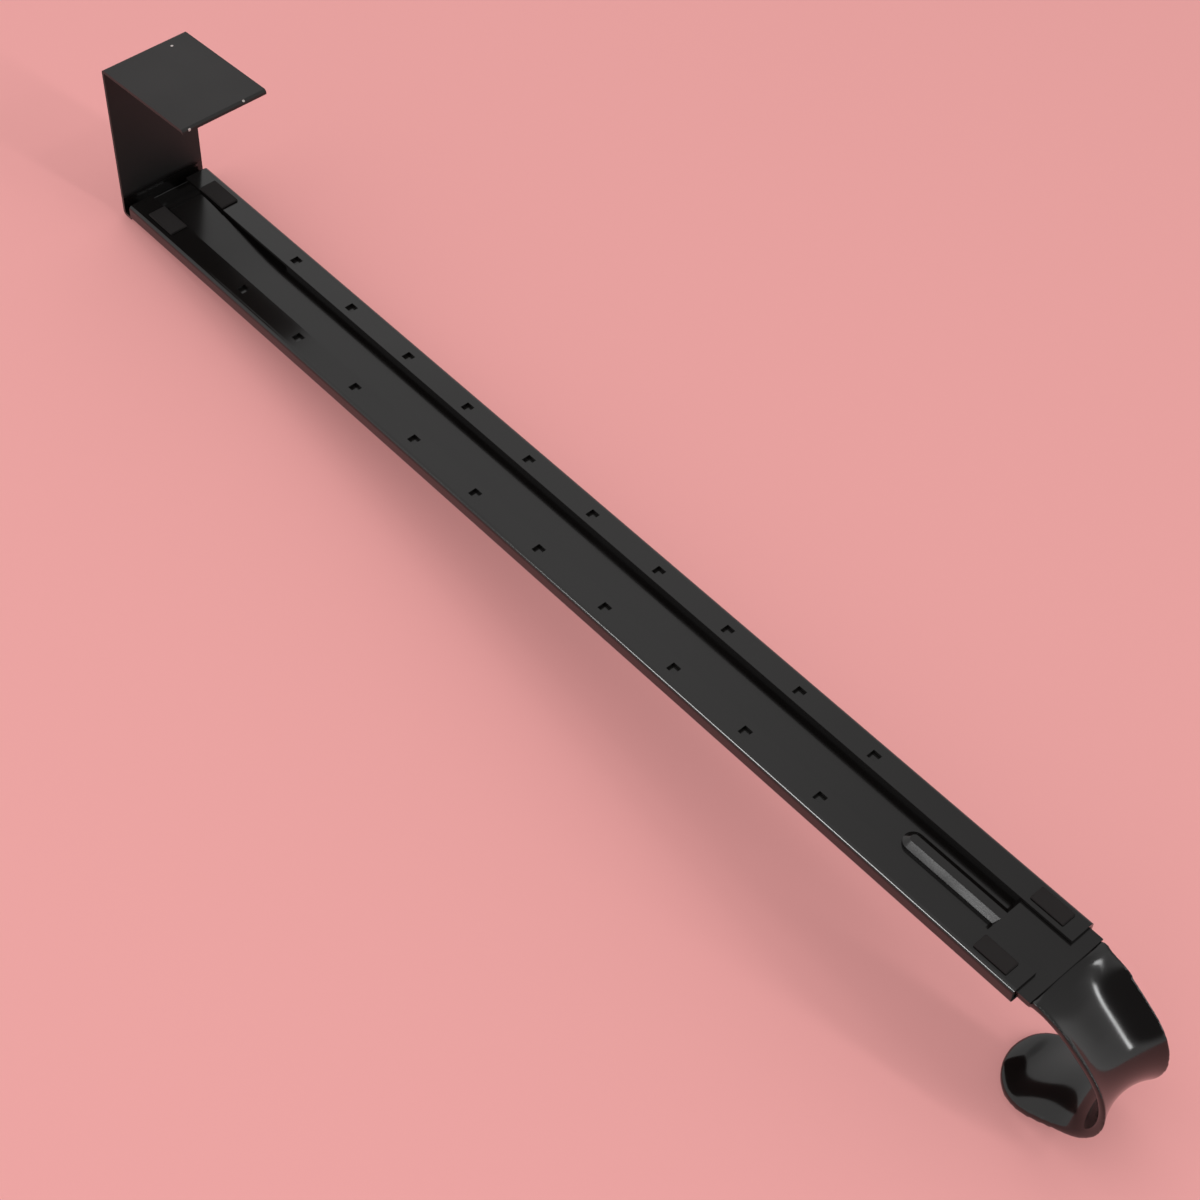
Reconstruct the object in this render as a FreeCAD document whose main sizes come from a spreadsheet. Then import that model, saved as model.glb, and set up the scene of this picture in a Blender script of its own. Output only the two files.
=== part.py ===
import FreeCAD, Part
import math
import os

import Sketcher

# An over-the-door hanger whose length adjusts. One folded steel sheet makes the bracket that
# sits on the door's top edge and the long shallow channel that runs down the door's face.
# A slide with a hat-shaped section runs inside the channel, held by its in-turned lips, and
# carries a curled hook at its lower end. Four soft pads keep the lips off the door.
#
# Frame: millimetres, +Z up, +Y towards the door's far side, X across the strip. The origin
# is the middle of the top plate's underside, which rests on the door's top edge.

doc = FreeCAD.newDocument("door_hanger")

# Driving sizes, then the planes and lengths that follow from them

SIZES = [
    ("door_gap", 46.0, "clear gap for the door's thickness"),
    ("bracket_sheet", 0.9, "sheet of the bracket and channel"),
    ("bracket_inset", 0.1, "how far the top plate and flap stay inside the channel's sides"),
    ("bracket_bend", 0.3, "inside radius of the bracket's two folds"),
    ("flap_drop", 37.2, "height of the flap's straight part"),
    ("flap_lean", 4.0, "degrees that the flap springs outwards"),
    ("flap_end", 0.6, "height of the flap's turned end"),
    ("flap_end_lean", 40.0, "degrees that the turned end leans inwards"),
    ("flap_end_bend", 0.6, "rounding of the bend at the flap's end"),
    ("channel_width", 28.0, "outside width of the channel"),
    ("channel_depth", 5.0, "outside depth of the channel"),
    ("channel_drop", 346.0, "top plate's underside to the channel's lower end"),
    ("channel_bend", 1.2, "outside radius of the channel's long bends"),
    ("lip_relief", 2.7, "gap between the lips' upper ends and the top plate"),
    ("slot_width", 12.3, "gap between the two lips"),
    ("notch_size", 2.7, "side of the square holes in the lips"),
    ("notch_pitch", 25.4, "step from one pair of holes to the next"),
    ("notch_rows", 10, "pairs of holes"),
    ("notch_share", 0.453, "place of the holes across a lip, from its edge to the wall"),
    ("first_notch", 52.2, "top plate's underside to the first pair of holes"),
    ("slide_sheet", 0.8, "sheet of the slide"),
    ("slide_play", 0.4, "running gap at each side of the slide"),
    ("slide_clearance", 0.05, "running gap below the slide"),
    ("trough_side", 0.9, "how far the trough's walls stand outside the lips' edges"),
    ("hook_sheet", 2.2, "thickness of the hook"),
    ("ramp_foot", 42.2, "top plate's underside to where the slide's tongue starts to rise"),
    ("ramp_head", 13.2, "top plate's underside to the end of the rise"),
    ("ramp_stop", 0.3, "gap between the tongue's top and the plane of the lips"),
    ("foot_run", 8.0, "half the length of the curve at the foot of the rise"),
    ("tongue_width", 11.0, "width of the tongue between the lips"),
    ("tongue_flat", 2.2, "flat length at the tongue's end"),
    ("thumb_rise", 1.3, "height of the tongue's upturned end"),
    ("slide_reach", 4.0, "how far the slide's lower end stands out below the channel"),
    ("step_lift", 20.5, "slide's lower end to the step over the hook's tang"),
    ("step_run", 1.5, "length of the sloping step"),
    ("rib_run", 26.4, "step to the middle of the stiffening rib's round nose"),
    ("rib_base", 6.6, "width of the rib at the slide's floor"),
    ("rib_waist", 4.6, "width of the rib where its sides turn steeper"),
    ("rib_waist_rise", 0.5, "height over the floor where its sides turn steeper"),
    ("rib_top", 2.3, "width of the rib's flat top"),
    ("tang_length", 18.5, "length of the hook's tang above the slide's lower end"),
    ("tang_inset", 0.4, "how far the tang stays inside the slide's sides"),
    ("bowl_inset", 1.0, "how far the bowl's rims stay inside the slide's sides"),
    ("root_flare", 0.7, "how much further each rim lies out at the root"),
    ("tip_flare", 1.0, "how much further each rim lies out at the oval tip"),
    ("flare_run", 12.0, "height over which the rims widen below the oval"),
    ("root_dish", 0.75, "how far the middle lies inside the rims at the root"),
    ("bowl_dish", 3.3, "how far the middle lies inside the rims round the bowl"),
    ("tip_dish", 0.9, "how far the middle lies inside the rims at the tip"),
    ("root_run", 0.5, "straight drop of the rims below the root"),
    ("shank_radius", 22.0, "radius of the bend below the root"),
    ("shank_lean", 33.0, "degrees that the shank leans forward"),
    ("shank_run", 6.9, "straight length of the leaning shank"),
    ("bowl_radius", 18.0, "radius of the rims round the bowl"),
    ("tip_heading", 161.0, "degrees turned when the bowl ends"),
    ("tip_rise", 20.4, "height of the tip above the bowl's end"),
    ("upper_pad_length", 11.3, "length of the two upper pads"),
    ("upper_pad_width", 5.6, "width of the two upper pads"),
    ("upper_pad_drop", 15.15, "top plate's underside to the upper pads' middle"),
    ("lower_pad_length", 10.0, "length of the two lower pads"),
    ("lower_pad_width", 4.4, "width of the two lower pads"),
    ("lower_pad_lift", 9.0, "channel's lower end to the lower pads' middle"),
    ("upper_pad_share", 0.363, "place of the upper pads across a lip, from its edge"),
    ("lower_pad_share", 0.465, "place of the lower pads across a lip, from its edge"),
    ("pad_sheet", 0.6, "thickness of the four soft pads"),
    ("pad_edge", 0.15, "bevel of the pads' outer edges"),
]

DERIVED = [
    ("lip_face", "-door_gap / 2"),
    ("lip_under", "lip_face - bracket_sheet"),
    ("front_face", "lip_face - channel_depth"),
    ("inner_floor", "front_face + bracket_sheet"),
    ("flap_face", "door_gap / 2"),
    ("flap_back", "flap_face + bracket_sheet"),
    ("bend_z", "-flap_drop"),
    ("bend_face", "flap_face + flap_drop * tan(flap_lean)"),
    ("bend_back", "bend_face + bracket_sheet"),
    ("end_z", "-flap_drop - flap_end"),
    ("end_face", "bend_face - flap_end * tan(flap_end_lean)"),
    ("end_back", "end_face + bracket_sheet"),
    ("zero", "0"),
    ("channel_half", "channel_width / 2"),
    ("bracket_width", "channel_width - 2 * bracket_inset"),
    ("cavity_half", "channel_half - bracket_sheet"),
    ("slot_half", "slot_width / 2"),
    ("channel_end", "-channel_drop"),
    ("lip_end", "-lip_relief"),
    ("plate_top", "bracket_sheet"),
    ("notch_mid", "slot_half + notch_share * (cavity_half - slot_half)"),
    ("notch_outer", "notch_mid + notch_size / 2"),
    ("notch_inner", "notch_mid - notch_size / 2"),
    ("notch_top", "-first_notch + notch_size / 2"),
    ("notch_foot", "-first_notch - notch_size / 2"),
    ("slide_under", "inner_floor + slide_clearance"),
    ("slide_top", "slide_under + slide_sheet"),
    ("plate_under", "slide_under + hook_sheet"),
    ("plate_face", "plate_under + slide_sheet"),
    ("slide_half", "cavity_half - slide_play"),
    ("slide_width", "2 * slide_half"),
    ("trough_in", "slot_half + trough_side"),
    ("trough_width", "2 * (trough_in + slide_sheet)"),
    ("slide_end", "channel_end - slide_reach"),
    ("step_z", "slide_end + step_lift"),
    ("step_foot", "step_z - step_run"),
    ("foot_z", "-ramp_foot"),
    ("head_z", "-ramp_head"),
    ("thumb_z", "head_z + tongue_flat"),
    ("tongue_end", "thumb_z + slide_sheet"),
    ("tongue_top", "lip_face - ramp_stop"),
    ("tongue_under", "tongue_top - slide_sheet"),
    ("thumb_top", "tongue_top + thumb_rise - slide_sheet"),
    ("ramp_rise", "tongue_top - slide_top"),
    ("ramp_run", "head_z - foot_z"),
    ("ramp_length", "sqrt(ramp_rise ^ 2 + ramp_run ^ 2)"),
    ("foot_radius", "foot_run * (ramp_length + ramp_run) / ramp_rise"),
    ("shoulder_z", "foot_z - foot_run"),
    ("curve_z", "foot_z + foot_run * ramp_run / ramp_length"),
    ("curve_top", "slide_top + foot_run * ramp_rise / ramp_length"),
    ("curve_under", "curve_top - slide_sheet"),
    ("hollow_z", "shoulder_z + channel_depth"),
    ("hollow_face", "plate_face + channel_depth"),
    ("rib_base_half", "rib_base / 2"),
    ("rib_waist_half", "rib_waist / 2"),
    ("rib_top_half", "rib_top / 2"),
    ("rib_mid_z", "step_z + rib_run"),
    ("rib_base_nose", "rib_mid_z + rib_base_half"),
    ("rib_waist_nose", "rib_mid_z + rib_waist_half"),
    ("rib_top_nose", "rib_mid_z + rib_top_half"),
    ("rib_base_lift", "-slide_top"),
    ("rib_waist_lift", "-slide_top - rib_waist_rise"),
    ("rib_top_lift", "-plate_face"),
    ("tang_z", "slide_end + tang_length"),
    ("tang_half", "slide_half - tang_inset"),
    ("rim_y", "plate_under + root_dish"),
    ("root_z", "slide_end - root_run"),
    ("shank_y", "rim_y - shank_radius * (1 - cos(shank_lean))"),
    ("shank_z", "root_z - shank_radius * sin(shank_lean)"),
    ("heel_y", "shank_y - shank_run * sin(shank_lean)"),
    ("heel_z", "shank_z - shank_run * cos(shank_lean)"),
    ("bowl_y", "heel_y - bowl_radius * cos(shank_lean)"),
    ("bowl_z", "heel_z + bowl_radius * sin(shank_lean)"),
    ("leg_y", "bowl_y + bowl_radius * cos(tip_heading)"),
    ("leg_z", "bowl_z - bowl_radius * sin(tip_heading)"),
    ("leg_length", "tip_rise / abs(cos(tip_heading))"),
    ("tip_z", "leg_z + tip_rise"),
    ("bowl_half", "slide_half - bowl_inset"),
    ("root_half", "bowl_half + root_flare"),
    ("tip_half", "bowl_half + tip_flare"),
    ("blank_half", "bowl_half + max(root_flare; tip_flare) + 1"),
    ("oval_z", "tip_z - tip_half"),
    ("flare_z", "oval_z - flare_run"),
    ("flare_mid_x", "bowl_half + tip_flare / 2"),
    ("flare_mid_z", "oval_z - flare_run / 2"),
    ("flare_radius", "(flare_run ^ 2 + tip_flare ^ 2) / (4 * tip_flare)"),
    ("taper_run", "abs(slide_end - bowl_z) + bowl_radius - 4"),
    ("taper_z", "slide_end - taper_run"),
    ("taper_radius", "(taper_run ^ 2 + root_flare ^ 2) / (2 * root_flare)"),
    ("below_z", "bowl_z - bowl_radius - 5"),
    ("above_z", "tip_z + 8"),
    ("beyond_x", "blank_half + 5"),
    ("tang_lift", "-plate_under"),
    ("pad_lift", "-lip_face"),
    ("pad_top", "lip_face + pad_sheet"),
    ("before_y", "bowl_y - bowl_radius - tip_rise"),
    ("front_lift", "-before_y"),
    ("back_lift", "-bowl_y"),
    ("root_lift_z", "slide_end + 1"),
    ("behind_y", "rim_y + 5"),
    ("upper_pad_top", "-upper_pad_drop + upper_pad_length / 2"),
    ("upper_pad_foot", "-upper_pad_drop - upper_pad_length / 2"),
    ("lip_width", "channel_half - slot_half"),
    ("upper_pad_mid", "slot_half + upper_pad_share * lip_width"),
    ("upper_pad_inner", "upper_pad_mid - upper_pad_width / 2"),
    ("upper_pad_outer", "upper_pad_mid + upper_pad_width / 2"),
    ("lower_pad_top", "channel_end + lower_pad_lift + lower_pad_length / 2"),
    ("lower_pad_foot", "channel_end + lower_pad_lift - lower_pad_length / 2"),
    ("lower_pad_mid", "slot_half + lower_pad_share * lip_width"),
    ("lower_pad_inner", "lower_pad_mid - lower_pad_width / 2"),
    ("lower_pad_outer", "lower_pad_mid + lower_pad_width / 2"),
]

sheet = doc.addObject("Spreadsheet::Sheet", "Sizes")
row = 1
for alias, number, note in SIZES:
    sheet.set(f"A{row}", alias)
    sheet.set(f"B{row}", str(number))
    sheet.set(f"C{row}", note)
    sheet.setAlias(f"B{row}", alias)
    row += 1
doc.recompute()
for alias, formula in DERIVED:
    sheet.set(f"A{row}", alias)
    sheet.set(f"B{row}", f"={formula}")
    sheet.setAlias(f"B{row}", alias)
    row += 1
    doc.recompute()


def size(name):
    """The value of one named cell, or minus it where the name starts with a minus."""
    if name.startswith("-"):
        return -float(getattr(sheet, name[1:]))
    return float(getattr(sheet, name))


def cell(name):
    """The same name as an expression that points at the sheet."""
    return f"-Sizes.{name[1:]}" if name.startswith("-") else f"Sizes.{name}"


# Helpers for bodies, sketches and features

ALONG_X = FreeCAD.Vector(1, 0, 0)
ALONG_Z = FreeCAD.Vector(0, 0, 1)
HIDDEN = 1e-3


def new_body(label):
    body = doc.addObject("PartDesign::Body", label)
    body.Label = label
    return body


def new_sketch(body, plane, name, lift="zero"):
    """A sketch on one of the body's own origin planes, lifted to a named cell."""
    sketch = body.newObject("Sketcher::SketchObject", name)
    origin = next(part for part in body.Origin.OriginFeatures if part.Role == plane)
    sketch.AttachmentSupport = [(origin, "")]
    sketch.MapMode = "FlatFace"
    sketch.setExpression("AttachmentOffset.Base.z", cell(lift))
    return sketch


def polygon(sketch, corners):
    """Closes a polygon through corners that are pairs of cell names."""
    first = sketch.GeometryCount
    count = len(corners)
    points = [FreeCAD.Vector(size(across), size(along), 0) for across, along in corners]
    for index in range(count):
        sketch.addGeometry(Part.LineSegment(points[index], points[(index + 1) % count]), False)
    for index in range(count):
        sketch.addConstraint(Sketcher.Constraint(
            "Coincident", first + index, 2, first + (index + 1) % count, 1))
    for index, corner in enumerate(corners):
        for kind, name, place in zip(("DistanceX", "DistanceY"), corner, points[index]):
            number = sketch.addConstraint(
                Sketcher.Constraint(kind, -1, 1, first + index, 1, place))
            sketch.setExpression(f"Constraints[{number}]", cell(name))
    doc.recompute()


def rectangle(sketch, left, right, low, high):
    polygon(sketch, [(left, low), (right, low), (right, high), (left, high)])


def spread(feature, start, stop):
    """Gives a pad or pocket its length from the difference of two cells."""
    feature.setExpression("Length", f"abs({cell(stop)} - {cell(start)})")


def pad(body, sketch, name, start, stop, back=False):
    feature = body.newObject("PartDesign::Pad", name)
    feature.Profile = sketch
    spread(feature, start, stop)
    feature.Reversed = back
    doc.recompute()
    return feature


def centred_pad(body, sketch, name, width):
    feature = body.newObject("PartDesign::Pad", name)
    feature.Profile = sketch
    feature.Midplane = True
    feature.setExpression("Length", cell(width))
    doc.recompute()
    return feature


def pocket(body, sketch, name, length, both_ways=True):
    feature = body.newObject("PartDesign::Pocket", name)
    feature.Profile = sketch
    feature.Midplane = both_ways
    feature.setExpression("Length", length)
    before = feature.BaseFeature.Shape.Volume
    doc.recompute()
    if feature.Shape.Volume > before - HIDDEN:
        raise RuntimeError(f"{name} removes nothing")
    return feature


def straight_edges(shape, direction, across, spots):
    """Names of the straight edges along direction that pass through the spots."""
    names = []
    for index, edge in enumerate(shape.Edges, start=1):
        if not isinstance(edge.Curve, Part.Line):
            continue
        if abs(edge.tangentAt(edge.FirstParameter).dot(direction)) < 0.999:
            continue
        middle = edge.valueAt((edge.FirstParameter + edge.LastParameter) / 2)
        place = [getattr(middle, axis) for axis in across]
        if any(math.dist(place, spot) < 0.02 for spot in spots):
            names.append(f"Edge{index}")
    return names


def fillet(body, name, radius, names):
    if not names:
        raise RuntimeError(f"{name} finds no edges")
    base = body.Tip
    feature = body.newObject("PartDesign::Fillet", name)
    feature.Base = (base, names)
    feature.setExpression("Radius", radius)
    doc.recompute()
    return feature


# Bracket and channel: one folded sheet

def make_bracket():
    body = new_body("bracket_channel")
    section = new_sketch(body, "XY_Plane", "channel_section", "channel_end")
    polygon(section, [
        ("-channel_half", "front_face"),
        ("channel_half", "front_face"),
        ("channel_half", "lip_face"),
        ("slot_half", "lip_face"),
        ("slot_half", "lip_under"),
        ("cavity_half", "lip_under"),
        ("cavity_half", "inner_floor"),
        ("-cavity_half", "inner_floor"),
        ("-cavity_half", "lip_under"),
        ("-slot_half", "lip_under"),
        ("-slot_half", "lip_face"),
        ("-channel_half", "lip_face"),
    ])
    pad(body, section, "channel", "channel_end", "lip_end")
    shape = body.Tip.Shape
    outside = [(sign * size("channel_half"), size(face))
               for sign in (-1, 1) for face in ("front_face", "lip_face")]
    fillet(body, "outer_bends", "Sizes.channel_bend",
           straight_edges(shape, ALONG_Z, "xy", outside))
    shape = body.Tip.Shape
    inside = [(sign * size("cavity_half"), size(face))
              for sign in (-1, 1) for face in ("inner_floor", "lip_under")]
    fillet(body, "inner_bends", "max(Sizes.channel_bend - Sizes.bracket_sheet; 0.1)",
           straight_edges(shape, ALONG_Z, "xy", inside))

    strip = new_sketch(body, "YZ_Plane", "bracket_profile")
    polygon(strip, [
        ("front_face", "lip_end"),
        ("front_face", "plate_top"),
        ("flap_back", "plate_top"),
        ("bend_back", "bend_z"),
        ("end_back", "end_z"),
        ("end_face", "end_z"),
        ("bend_face", "bend_z"),
        ("flap_face", "zero"),
        ("inner_floor", "zero"),
        ("inner_floor", "lip_end"),
    ])
    centred_pad(body, strip, "door_bracket", "bracket_width")
    shape = body.Tip.Shape
    outer = [(size("front_face"), size("plate_top")), (size("flap_back"), size("plate_top"))]
    fillet(body, "outer_folds", "Sizes.bracket_bend + Sizes.bracket_sheet",
           straight_edges(shape, ALONG_X, "yz", outer))
    shape = body.Tip.Shape
    inner = [(size("flap_face"), 0), (size("inner_floor"), 0)]
    fillet(body, "inner_folds", "Sizes.bracket_bend",
           straight_edges(shape, ALONG_X, "yz", inner))
    shape = body.Tip.Shape
    bends = [(size(face), size("bend_z")) for face in ("bend_back", "bend_face")]
    fillet(body, "end_bend", "Sizes.flap_end_bend",
           straight_edges(shape, ALONG_X, "yz", bends))

    holes = new_sketch(body, "XZ_Plane", "first_pair")
    rectangle(holes, "notch_inner", "notch_outer", "notch_foot", "notch_top")
    rectangle(holes, "-notch_outer", "-notch_inner", "notch_foot", "notch_top")
    depth = "Sizes.door_gap + 2 * Sizes.bracket_sheet + 0.4"
    first = pocket(body, holes, "first_holes", depth)
    rows = body.newObject("PartDesign::LinearPattern", "hole_rows")
    rows.Originals = [first]
    rows.Direction = (holes, ["V_Axis"])
    rows.Reversed = True
    body.Tip = rows
    rows.setExpression("Length", "Sizes.notch_pitch * (Sizes.notch_rows - 1)")
    rows.setExpression("Occurrences", "Sizes.notch_rows")
    doc.recompute()
    return body


def hold(sketch, geometry, end, corner):
    """Holds one end of a line or arc at a pair of cell names."""
    place = [size(name) for name in corner]
    for kind, name, number in zip(("DistanceX", "DistanceY"), corner, place):
        index = sketch.addConstraint(Sketcher.Constraint(kind, -1, 1, geometry, end, number))
        sketch.setExpression(f"Constraints[{index}]", cell(name))


def hold_radius(sketch, geometry, name):
    index = sketch.addConstraint(Sketcher.Constraint("Radius", geometry, size(name)))
    sketch.setExpression(f"Constraints[{index}]", cell(name))


def chain(sketch, corners):
    """Closes a run of lines and arcs through corners.

    Each corner is a pair of cell names, then how to reach the next corner: None for a line,
    or a side to bulge to (1 is left) and a radius cell for an arc.
    """
    first = sketch.GeometryCount
    for index, (across, along, way) in enumerate(corners):
        following = corners[(index + 1) % len(corners)]
        start = FreeCAD.Vector(size(across), size(along), 0)
        stop = FreeCAD.Vector(size(following[0]), size(following[1]), 0)
        number = first + index
        forward = True
        if way is None:
            sketch.addGeometry(Part.LineSegment(start, stop), False)
        else:
            side, radius = way
            chord = stop - start
            rise = size(radius) - math.sqrt(size(radius) ** 2 - (chord.Length / 2) ** 2)
            left = FreeCAD.Vector(-chord.y, chord.x, 0).normalize()
            middle = start + chord * 0.5 + left * (side * rise)
            forward = side == RIGHT
            ends = (start, stop) if forward else (stop, start)
            sketch.addGeometry(Part.Arc(ends[0], middle, ends[1]), False)
            hold_radius(sketch, number, radius)
        hold(sketch, number, 1 if forward else 2, (across, along))
        hold(sketch, number, 2 if forward else 1, following[:2])
    doc.recompute()


LEFT = 1
RIGHT = -1


# Slide: flanges under the lips, a trough between them, a tongue, a rib and a step over the tang

def rib_outline(sketch, half, nose):
    """A strip from the step up to a round nose."""
    chain(sketch, [
        ("-" + half, "step_foot", None),
        ("-" + half, "rib_mid_z", (LEFT, half)),
        ("zero", nose, (LEFT, half)),
        (half, "rib_mid_z", None),
        (half, "step_foot", None),
    ])


def make_slide():
    body = new_body("slide_strip")
    flanges = new_sketch(body, "YZ_Plane", "flange_profile")
    rectangle(flanges, "plate_under", "plate_face", "slide_end", "shoulder_z")
    centred_pad(body, flanges, "flanges", "slide_width")

    trough = new_sketch(body, "YZ_Plane", "trough_profile")
    polygon(trough, [
        ("slide_under", "step_z"),
        ("slide_under", "shoulder_z"),
        ("plate_face", "shoulder_z"),
        ("plate_face", "step_foot"),
        ("plate_under", "step_foot"),
    ])
    centred_pad(body, trough, "trough", "trough_width")
    hollow = new_sketch(body, "YZ_Plane", "hollow_profile")
    polygon(hollow, [
        ("slide_top", "step_z"),
        ("slide_top", "hollow_z"),
        ("hollow_face", "hollow_z"),
        ("hollow_face", "step_foot"),
        ("plate_face", "step_foot"),
    ])
    pocket(body, hollow, "hollow", "2 * Sizes.trough_in")

    tongue = new_sketch(body, "YZ_Plane", "tongue_profile")
    chain(tongue, [
        ("slide_under", "shoulder_z", None),
        ("slide_top", "shoulder_z", (LEFT, "foot_radius")),
        ("curve_top", "curve_z", None),
        ("tongue_top", "head_z", None),
        ("tongue_top", "thumb_z", None),
        ("thumb_top", "thumb_z", None),
        ("thumb_top", "tongue_end", None),
        ("tongue_under", "tongue_end", None),
        ("tongue_under", "head_z", None),
        ("curve_under", "curve_z", (RIGHT, "foot_radius")),
    ])
    centred_pad(body, tongue, "tongue", "tongue_width")

    base = new_sketch(body, "XZ_Plane", "rib_base_outline", "rib_base_lift")
    rib_outline(base, "rib_base_half", "rib_base_nose")
    waist = new_sketch(body, "XZ_Plane", "rib_waist_outline", "rib_waist_lift")
    rib_outline(waist, "rib_waist_half", "rib_waist_nose")
    top = new_sketch(body, "XZ_Plane", "rib_top_outline", "rib_top_lift")
    rib_outline(top, "rib_top_half", "rib_top_nose")
    rib = body.newObject("PartDesign::AdditiveLoft", "rib")
    rib.Profile = base
    rib.Sections = [waist, top]
    rib.Ruled = True
    doc.recompute()
    return body


# Hook: a flat tang, then a strip with a saddle-shaped section that curls forward

def station_cells():
    """Adds the cells for each cross-section: place, turn, dish and the shape that follows."""
    global row
    places = []
    places.append(("rim_y", "slide_end", "0", "0"))
    for part in (0.25, 0.5, 0.75, 1.0):
        turn = f"{part} * shank_lean"
        places.append((
            f"rim_y - shank_radius * (1 - cos({turn}))",
            f"root_z - shank_radius * sin({turn})",
            turn, str(1 - (1 - part) ** 2)))
    steps = 6
    for step in range(steps + 1):
        turn = f"shank_lean + (tip_heading - shank_lean) * {step / steps}"
        places.append((
            f"bowl_y + bowl_radius * cos({turn})",
            f"bowl_z - bowl_radius * sin({turn})",
            turn, "1"))
    for part in (0.3, 0.65, 1.15):
        places.append((
            f"leg_y - {part} * leg_length * sin(tip_heading)",
            f"leg_z - {part} * leg_length * cos(tip_heading)",
            "tip_heading", str(1 + part)))
    letters = "abcdefghijklmnopqrstuvwxyz"[:len(places)]
    for letter, (along_y, along_z, turn, stage) in zip(letters, places):
        share = float(stage)
        if share <= 1:
            dish = f"root_dish + (bowl_dish - root_dish) * {share}"
        else:
            dish = f"bowl_dish + (tip_dish - bowl_dish) * {share - 1}"
        entries = [
            (f"at_{letter}_y", along_y),
            (f"at_{letter}_z", along_z),
            (f"at_{letter}_turn", turn),
            (f"at_{letter}_dish", dish),
            (f"at_{letter}_radius",
             f"(bowl_half ^ 2 + at_{letter}_dish ^ 2) / (2 * at_{letter}_dish)"),
            (f"at_{letter}_rim",
             f"at_{letter}_radius - at_{letter}_dish"
             f" - sqrt(at_{letter}_radius ^ 2 - blank_half ^ 2)"),
            (f"at_{letter}_inner", f"at_{letter}_rim - hook_sheet"),
        ]
        for alias, formula in entries:
            sheet.set(f"A{row}", alias)
            sheet.set(f"B{row}", f"={formula}")
            sheet.setAlias(f"B{row}", alias)
            row += 1
    doc.recompute()
    return letters


def saddle_section(letter):
    """One cross-section of the hook, square to its rims, with its hollow face outwards."""
    sketch = doc.addObject("Sketcher::SketchObject", f"section_{letter}")
    place = FreeCAD.Vector(0, size(f"at_{letter}_y"), size(f"at_{letter}_z"))
    turn = FreeCAD.Rotation(FreeCAD.Vector(-1, 0, 0), size(f"at_{letter}_turn"))
    sketch.Placement = FreeCAD.Placement(place, turn)
    sketch.setExpression("Placement.Base.y", f"Sizes.at_{letter}_y")
    sketch.setExpression("Placement.Base.z", f"Sizes.at_{letter}_z")
    sketch.setExpression("Placement.Rotation.Angle", f"Sizes.at_{letter}_turn * 1 deg")
    half = size("blank_half")
    rim = size(f"at_{letter}_rim")
    dish = size(f"at_{letter}_dish")
    depth = size("hook_sheet")
    for drop in (0, depth):
        sketch.addGeometry(Part.Arc(
            FreeCAD.Vector(-half, rim - drop, 0),
            FreeCAD.Vector(0, -dish - drop, 0),
            FreeCAD.Vector(half, rim - drop, 0)), False)
    for sign in (-1, 1):
        sketch.addGeometry(Part.LineSegment(
            FreeCAD.Vector(sign * half, rim, 0),
            FreeCAD.Vector(sign * half, rim - depth, 0)), False)
    for arc, edge in ((0, f"at_{letter}_rim"), (1, f"at_{letter}_inner")):
        hold(sketch, arc, 1, ("-blank_half", edge))
        hold(sketch, arc, 2, ("blank_half", edge))
        hold_radius(sketch, arc, f"at_{letter}_radius")
    sketch.addConstraint(Sketcher.Constraint("Coincident", 0, 1, 2, 1))
    sketch.addConstraint(Sketcher.Constraint("Coincident", 1, 1, 2, 2))
    sketch.addConstraint(Sketcher.Constraint("Coincident", 0, 2, 3, 1))
    sketch.addConstraint(Sketcher.Constraint("Coincident", 1, 2, 3, 2))
    return sketch


def make_hook():
    curl = doc.addObject("Part::Loft", "hook_blank")
    curl.Sections = [saddle_section(letter) for letter in station_cells()]
    curl.Solid = True
    curl.MaxDegree = 3
    doc.recompute()
    body = new_body("hook")
    body.BaseFeature = curl
    doc.recompute()

    tang = new_sketch(body, "XZ_Plane", "tang_outline", "tang_lift")
    rectangle(tang, "-tang_half", "tang_half", "slide_end", "tang_z")
    pad(body, tang, "tang", "slide_under", "plate_under")

    front = new_sketch(body, "XZ_Plane", "oval_outline", "front_lift")
    chain(front, [
        ("-bowl_half", "below_z", None),
        ("-bowl_half", "flare_z", (RIGHT, "flare_radius")),
        ("-flare_mid_x", "flare_mid_z", (LEFT, "flare_radius")),
        ("-tip_half", "oval_z", (LEFT, "tip_half")),
        ("zero", "tip_z", (LEFT, "tip_half")),
        ("tip_half", "oval_z", (LEFT, "flare_radius")),
        ("flare_mid_x", "flare_mid_z", (RIGHT, "flare_radius")),
        ("bowl_half", "flare_z", None),
        ("bowl_half", "below_z", None),
        ("beyond_x", "below_z", None),
        ("beyond_x", "above_z", None),
        ("-beyond_x", "above_z", None),
        ("-beyond_x", "below_z", None),
    ])
    pocket(body, front, "oval_cut", "abs(Sizes.bowl_y - Sizes.before_y)", both_ways=False)

    back = new_sketch(body, "XZ_Plane", "shank_outline", "back_lift")
    for sign, bulge in (("", RIGHT), ("-", LEFT)):
        chain(back, [
            (sign + "root_half", "root_lift_z", None),
            (sign + "root_half", "slide_end", (bulge, "taper_radius")),
            (sign + "bowl_half", "taper_z", None),
            (sign + "bowl_half", "below_z", None),
            (sign + "beyond_x", "below_z", None),
            (sign + "beyond_x", "root_lift_z", None),
        ])
    pocket(body, back, "shank_cut", "abs(Sizes.behind_y - Sizes.bowl_y)", both_ways=False)
    return body


# Soft pads: thin blocks with bevelled edges, stuck to the lips' door side

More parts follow.
